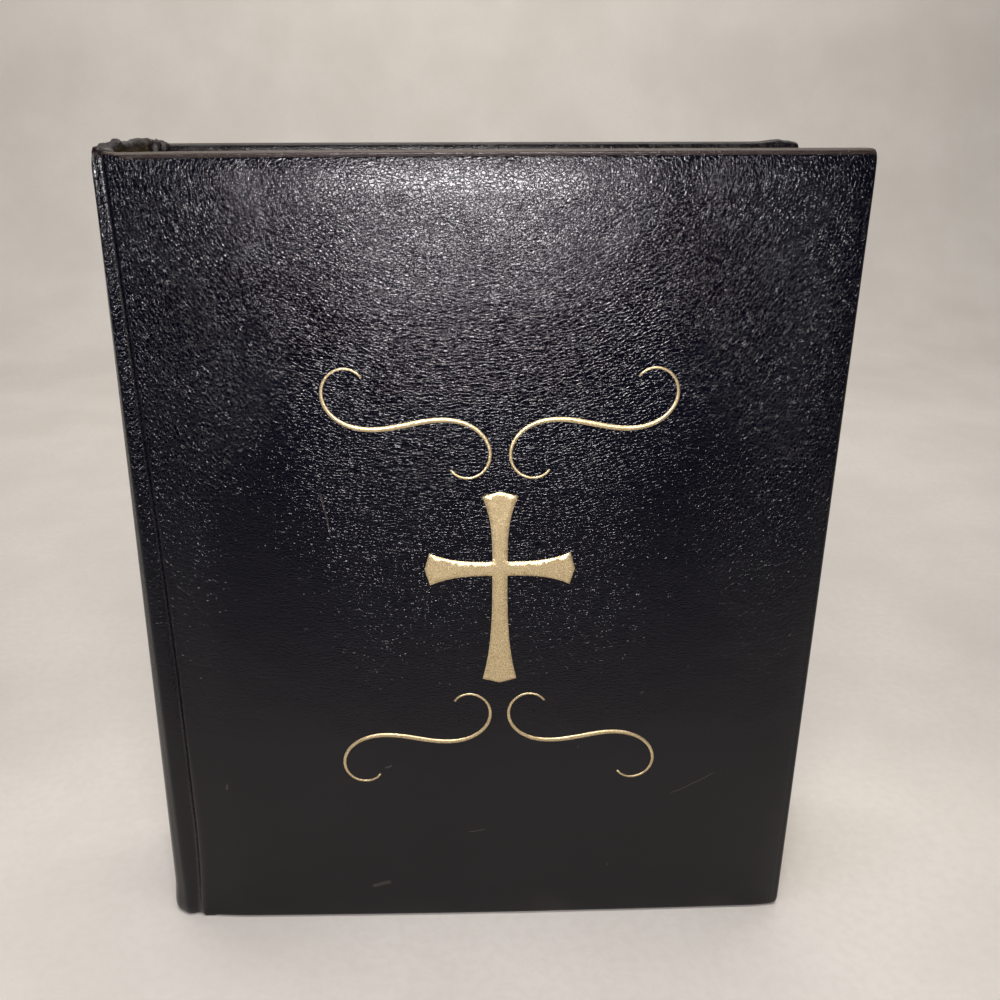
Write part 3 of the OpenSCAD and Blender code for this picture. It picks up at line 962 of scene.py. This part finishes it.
def back_strip(side, k, spans, near, far, material, name, node):
    """A layer on the back of one group, pressed flat by the spine and at the block's middle fold."""
    low, high = corner(f"{side}_section_{k}")
    o0, o1 = sorted((abs(low[1]), abs(high[1])))
    across = np.linspace(max(0.0, o0 - 0.1), min(o1 + 0.1, BLOCK_O - 0.25), 7)
    points, faces = [], []
    for z0, z1 in spans:
        up = np.linspace(z0, z1, max(3, int((z1 - z0) / 9)))
        start = len(points) * len(across)
        for offset in (near, far):
            for z in up:
                room = np.minimum(room_behind(across, z), across / GUTTER_TAPER)
                press = np.clip(room, PRESSED_FLAT, 1)
                x = back_x(across) - press * (offset + 0.04 * ripple(across, 0 * across + z, 33, 12))
                points.append(to_world(side, x, across, z))
        width, count = len(across), len(across) * len(up)
        faces += grid_faces(len(up), width, start)
        faces += [tuple(reversed(f)) for f in grid_faces(len(up), width, start + count)]
        faces += rim_faces(len(up), width, start)
    piece = new_mesh(f"{side}_{name}_{k}", np.array(points), faces, [material])
    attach(piece, f"{side}_section_{k}")
    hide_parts(node)


def end_band(side, k, z, name, node):
    """A stretch of the sewn band over the end of one group of gatherings."""
    low, high = corner(f"{side}_section_{k}")
    o0, o1 = sorted((abs(low[1]), abs(high[1])))
    across = np.linspace(max(0, o0 - 0.1), min(o1 + 0.1, BLOCK_O - 0.5), 25)
    turns = np.linspace(0, math.tau, 13)[:-1]
    points = []
    for o in across:
        radius = BAND_RADIUS + 0.07 * math.cos(math.tau * o / 0.8)
        centre = float(back_x(o)) + 0.75 + 1.1 * smooth((o - 10) / 14)
        points.append([to_world(side, centre + BAND_WIDER * radius * math.cos(t), o,
                                z + radius * math.sin(t)) for t in turns])
    width = len(turns)
    faces = []
    for r in range(len(across) - 1):
        for c in range(width):
            a, b = r * width + c, r * width + (c + 1) % width
            faces.append((a, b, b + width, a + width))
    faces += [tuple(range(width)), tuple(range((len(across) - 1) * width, len(across) * width))]
    piece = new_mesh(f"{side}_{name}_{k}", np.array(points), faces, [BAND])
    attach(piece, f"{side}_section_{k}")
    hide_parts(node)


# ---------------------------------------------------------------- stamped ornament

FOIL_ABOVE, FOIL_THICK = 0.05, 0.06


def stamped_foil():
    """The CAD outline of the foil, laid on the padded leather."""
    source = frame["nodes"]["cover_ornament"].data
    bm = bmesh.new()
    bm.from_mesh(source)
    outward = Vector((0, -1, 0))
    bmesh.ops.delete(bm, geom=[f for f in bm.faces if f.normal.dot(outward) < 0.9], context="FACES")
    bmesh.ops.remove_doubles(bm, verts=bm.verts, dist=1e-6)
    bmesh.ops.subdivide_edges(bm, edges=[e for e in bm.edges if e.calc_length() > 0.004], cuts=2)
    bmesh.ops.triangulate(bm, faces=bm.faces)
    bmesh.ops.subdivide_edges(bm, edges=[e for e in bm.edges if e.calc_length() > 0.0025], cuts=1)
    bmesh.ops.triangulate(bm, faces=bm.faces)
    for v in bm.verts:
        x, o = v.co.x / MM - COVER_X, -v.co.y / MM - COVER_O
        flat_x = COVER_X + x * math.cos(SPLAY) + o * math.sin(SPLAY)
        z = v.co.z / MM
        o_new = float(face_o(np.array(flat_x), np.array(z), FACE_SEED["front"])) + FOIL_ABOVE
        v.co = Vector(to_world("front", flat_x, o_new, z, SPLAY))
    bmesh.ops.recalc_face_normals(bm, faces=bm.faces)
    mesh = bpy.data.meshes.new("stamped_foil")
    bm.to_mesh(mesh)
    bm.free()
    mesh.materials.clear()
    mesh.materials.append(FOIL)
    mesh.polygons.foreach_set("use_smooth", [True] * len(mesh.polygons))
    foil = bpy.data.objects.new("stamped_foil", mesh)
    bpy.context.scene.collection.objects.link(foil)
    solid = foil.modifiers.new("edge", "SOLIDIFY")
    solid.thickness = FOIL_THICK * MM
    solid.offset = -1
    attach(foil, "front_cover")
    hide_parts("cover_ornament")


# ---------------------------------------------------------------- stage, light and camera

# The floor's profile in metres: its front edge, the wall behind, and the sweep between them
FLOOR_FRONT, WALL_BACK, WALL_TOP, FLOOR_HALF = -0.42, 1.15, 1.6, 2.2
SWEEP = 0.35


def stage():
    """A pale cloth floor that sweeps up far behind the book."""
    n = Nodes("pale_cloth")
    place = n.place()
    soft = n.noise(place, 9, 3.0)
    slub = n.noise(n.scaled(place, 1, 1, 6), 220, 3.0, 0.6)
    color = n.mix(n.ramp(soft, 0.3, 0.7), (0.62, 0.585, 0.54), (0.68, 0.645, 0.60))
    color = n.mix(n.ramp(slub, 0.35, 0.7, 0.0, 0.25), color, (0.56, 0.53, 0.485))
    cloth = n.finish(color, 0.95, n.bump(slub, 0.0006, 0.35), Specular_IOR_Level=0.1)
    profile = [(FLOOR_FRONT, 0.0), (-0.2, 0.0), (0.0, 0.0), (0.4, 0.0)]
    profile += [(WALL_BACK - SWEEP + SWEEP * math.sin(a), SWEEP - SWEEP * math.cos(a))
                for a in np.linspace(0, math.pi / 2, 16)]
    profile += [(WALL_BACK, SWEEP + 0.4), (WALL_BACK, WALL_TOP)]
    sides = np.linspace(-FLOOR_HALF, FLOOR_HALF, 23)
    points = [(x, y, z) for y, z in profile for x in sides]
    floor = new_mesh("floor", points, grid_faces(len(profile), len(sides)), [cloth])


ROOM_COLOR, ROOM_STRENGTH = (0.80, 0.86, 1.0, 1), 0.05
# Name, place, target, size, watts, colour and spread in degrees of each soft light. The small
# light before the book gives the leather its highlight, and its limited spread spares the floor.
LIGHTS = (
    ("ceiling", (0.0, 0.10, 1.75), (0, 0.05, 0), (1.5, 1.1), 8.7, (1.0, 0.965, 0.93), 180),
    ("backdrop", (0.0, 0.30, 1.05), (0, 1.15, 0.20), (1.4, 0.4), 11.0, (1.0, 0.97, 0.94), 180),
    ("sheen", (-0.014, -0.355, 0.295), (0, 0, 0.230), (0.15, 0.06), 0.74, (1.0, 0.955, 0.975), 108),
    ("front_fill", (0, -0.11, 0.62), (0, -0.11, 0), (0.9, 0.10), 0.34, (1.0, 0.975, 0.95), 45),
    ("window", (-0.62, -0.28, 0.20), (-0.11, -0.03, 0.22), (0.04, 0.16), 0.22, (0.80, 0.88, 1.0), 180),
)


def area_light(name, place, target, size, watts, color, spread_degrees):
    data = bpy.data.lights.new(name, "AREA")
    data.shape = "RECTANGLE"
    data.size, data.size_y = size
    data.energy = watts
    data.color = color
    data.spread = math.radians(spread_degrees)
    light = bpy.data.objects.new(name, data)
    light.location = place
    light.rotation_mode = "QUATERNION"
    light.rotation_quaternion = (Vector(target) - Vector(place)).to_track_quat("-Z", "Y")
    bpy.context.scene.collection.objects.link(light)


def lights():
    world = bpy.data.worlds.new("room")
    world.use_nodes = True
    background = world.node_tree.nodes["Background"]
    background.inputs["Color"].default_value = ROOM_COLOR
    background.inputs["Strength"].default_value = ROOM_STRENGTH
    bpy.context.scene.world = world
    for light in LIGHTS:
        area_light(*light)


# Fitted to the corners of the book in the photo
CAMERA_PLACE = (-0.01015, -0.34356, 0.30031)
CAMERA_PITCH = math.radians(21.84)
CAMERA_YAW = math.radians(3.34)
CAMERA_ROLL = math.radians(0.20)
CAMERA_LENS = 35.98


def camera():
    data = bpy.data.cameras.new("camera")
    data.lens = CAMERA_LENS
    data.sensor_width = 36
    data.clip_start = 0.01
    cam = bpy.data.objects.new("camera", data)
    forward = Vector((math.sin(CAMERA_YAW) * math.cos(CAMERA_PITCH),
                      math.cos(CAMERA_YAW) * math.cos(CAMERA_PITCH), -math.sin(CAMERA_PITCH)))
    right = Vector((math.cos(CAMERA_YAW), -math.sin(CAMERA_YAW), 0))
    up = right.cross(forward)
    c, s = math.cos(CAMERA_ROLL), math.sin(CAMERA_ROLL)
    x_axis, y_axis = c * right + s * up, c * up - s * right
    turn = Matrix((x_axis, y_axis, -forward)).transposed()
    cam.matrix_world = Matrix.Translation(CAMERA_PLACE) @ turn.to_4x4()
    bpy.context.scene.collection.objects.link(cam)
    bpy.context.scene.camera = cam


# ---------------------------------------------------------------- build

camera()
lights()
stage()
bpy.context.scene.view_settings.view_transform = "Standard"

for side in SIDES:
    cover_skin(side)
    wadding(side)
    spine_skin(side)
    pastedown(side)
    flyleaf(side)
    board = frame["nodes"][f"{side}_board"]
    board.data.materials.clear()
    board.data.materials.append(BOARD)
    for k in SECTIONS:
        gathering(side, k)
        back_strip(side, k, TAPES, 0.05, 0.30, TAPE, "tapes", "sewing_tapes")
        back_strip(side, k, [(SQUARE + 12, HEAD - 12)], 0.35, 0.60, MULL, "mull", "super")
        back_strip(side, k, [(SQUARE + 3, HEAD - 3)], 0.65, 0.95, KRAFT, "lining", "spine_liner")
        end_band(side, k, HEAD + 0.55, "headband", "headband")
        end_band(side, k, SQUARE - 0.6, "tailband", "tailband")
spine_card()
stamped_foil()
